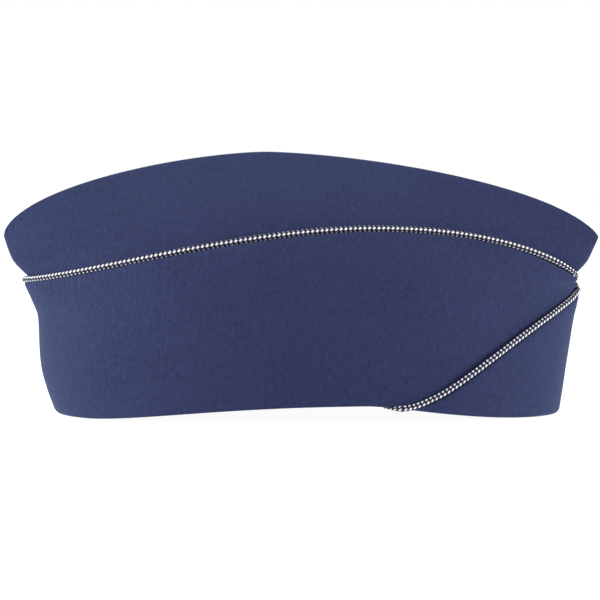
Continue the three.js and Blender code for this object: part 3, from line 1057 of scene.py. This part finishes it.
def add_camera(scene, stage):
    camera = bpy.data.cameras.new("camera")
    camera.lens = camera.sensor_width * stage.camera_distance / stage.view_width
    angle = stage.camera_height_angle
    back = Vector((0.0, -math.cos(angle), math.sin(angle)))
    holder = bpy.data.objects.new("camera", camera)
    aimed(holder, Vector(stage.aim) + back * stage.camera_distance, stage.aim)
    scene.camera = holder


# Operators

class CAP_OT_crown(bpy.types.Operator):
    """Make the two side panels of the crown"""

    bl_idname = "cap.crown"
    bl_label = "Crown Panels"

    def execute(self, context):
        cloth = context.scene.cap_cloth
        material = crown_material(cloth)
        for name, side in (("crown_right", 1), ("crown_left", -1)):
            bm = sewn_sheet(*crown_faces(cloth, side))
            piece = finish_piece(bm, name + "_panel", material, name)
        return {"FINISHED"}


class CAP_OT_gusset(bpy.types.Operator):
    """Make the strip that is folded in between the ridges"""

    bl_idname = "cap.gusset"
    bl_label = "Top Gusset"

    def execute(self, context):
        cloth = context.scene.cap_cloth
        bm = sewn_sheet(*gusset_faces(cloth))
        piece = finish_piece(bm, "top_gusset_strip", crown_material(cloth), "top_gusset")
        return {"FINISHED"}


class CAP_OT_curtain(bpy.types.Operator):
    """Make the two halves of the turned-up curtain"""

    bl_idname = "cap.curtain"
    bl_label = "Curtain"

    def execute(self, context):
        cloth = context.scene.cap_cloth
        braid = context.scene.cap_braid
        material = cloth_material("curtain_gabardine", cloth.curtain_colour, cloth)
        halves = (
            ("curtain_right", RIGHT_HALF, SEAM_TURN, math.pi + TONGUE_TURN),
            ("curtain_left", LEFT_HALF, -math.pi - FLAP_TURN, -SEAM_TURN),
        )
        for name, half, start, end in halves:
            turns = np.linspace(start, end, CURTAIN_COLUMNS + 1)
            bm = sewn_sheet(*curtain_faces(cloth, braid, half, turns))
            piece = finish_piece(bm, name + "_half", material, name)
        return {"FINISHED"}


class CAP_OT_braid(bpy.types.Operator):
    """Make the silver and black strands of the braid"""

    bl_idname = "cap.braid"
    bl_label = "Edge Braid"

    def execute(self, context):
        cloth = context.scene.cap_cloth
        braid = context.scene.cap_braid
        route = braid_route(cloth, braid)
        silver = thread_material(
            "silver_thread", braid.silver, braid.warm_silver, metallic=0.2, roughness=0.55)
        black = thread_material("black_thread", braid.black, braid.black, metallic=0.0, roughness=0.5)
        for name, way, width, material, node in (
                ("braid_silver_strands", -1, braid.silver_width, silver, "edge_braid"),
                ("braid_black_strands", 1, braid.black_width, black, None)):
            bm = start_strands()
            for number in range(braid.strands):
                add_strand(bm, route, braid, number, way, width)
            if way > 0:
                add_core(bm, route, braid)
            close_ends(bm)
            finish_piece(bm, name, material, node)
        return {"FINISHED"}


class CAP_OT_stage(bpy.types.Operator):
    """Make the floor, the lights and the camera"""

    bl_idname = "cap.stage"
    bl_label = "Stage"

    def execute(self, context):
        stage = context.scene.cap_stage
        add_floor(stage)
        add_sky(context.scene, stage)
        for name, softbox in SOFTBOXES.items():
            add_softbox(name, softbox, stage)
        add_camera(context.scene, stage)
        return {"FINISHED"}


class CAP_PT_panel(bpy.types.Panel):
    """Settings and steps of the side cap"""

    bl_idname = "CAP_PT_panel"
    bl_label = "Side Cap"
    bl_space_type = "VIEW_3D"
    bl_region_type = "UI"
    bl_category = "Side Cap"

    def draw(self, context):
        layout = self.layout
        for title, settings, steps in (
                ("Cloth", context.scene.cap_cloth, (CAP_OT_crown, CAP_OT_gusset, CAP_OT_curtain)),
                ("Braid", context.scene.cap_braid, (CAP_OT_braid,)),
                ("Stage", context.scene.cap_stage, (CAP_OT_stage,))):
            box = layout.box()
            box.label(text=title)
            for name in settings.__annotations__:
                box.prop(settings, name)
            for step in steps:
                box.operator(step.bl_idname)


SETTINGS = {"cap_cloth": CapClothSettings, "cap_braid": CapBraidSettings, "cap_stage": CapStageSettings}
STEPS = (CAP_OT_stage, CAP_OT_curtain, CAP_OT_crown, CAP_OT_gusset, CAP_OT_braid)


def register():
    for name, group in SETTINGS.items():
        bpy.utils.register_class(group)
        setattr(bpy.types.Scene, name, PointerProperty(type=group))
    for step in STEPS:
        bpy.utils.register_class(step)
    bpy.utils.register_class(CAP_PT_panel)


def unregister():
    bpy.utils.unregister_class(CAP_PT_panel)
    for step in reversed(STEPS):
        bpy.utils.unregister_class(step)
    for name, group in reversed(SETTINGS.items()):
        delattr(bpy.types.Scene, name)
        bpy.utils.unregister_class(group)


def main():
    register()
    for step in STEPS:
        group, name = step.bl_idname.split(".")
        getattr(getattr(bpy.ops, group), name)()


if __name__ == "__main__":
    main()
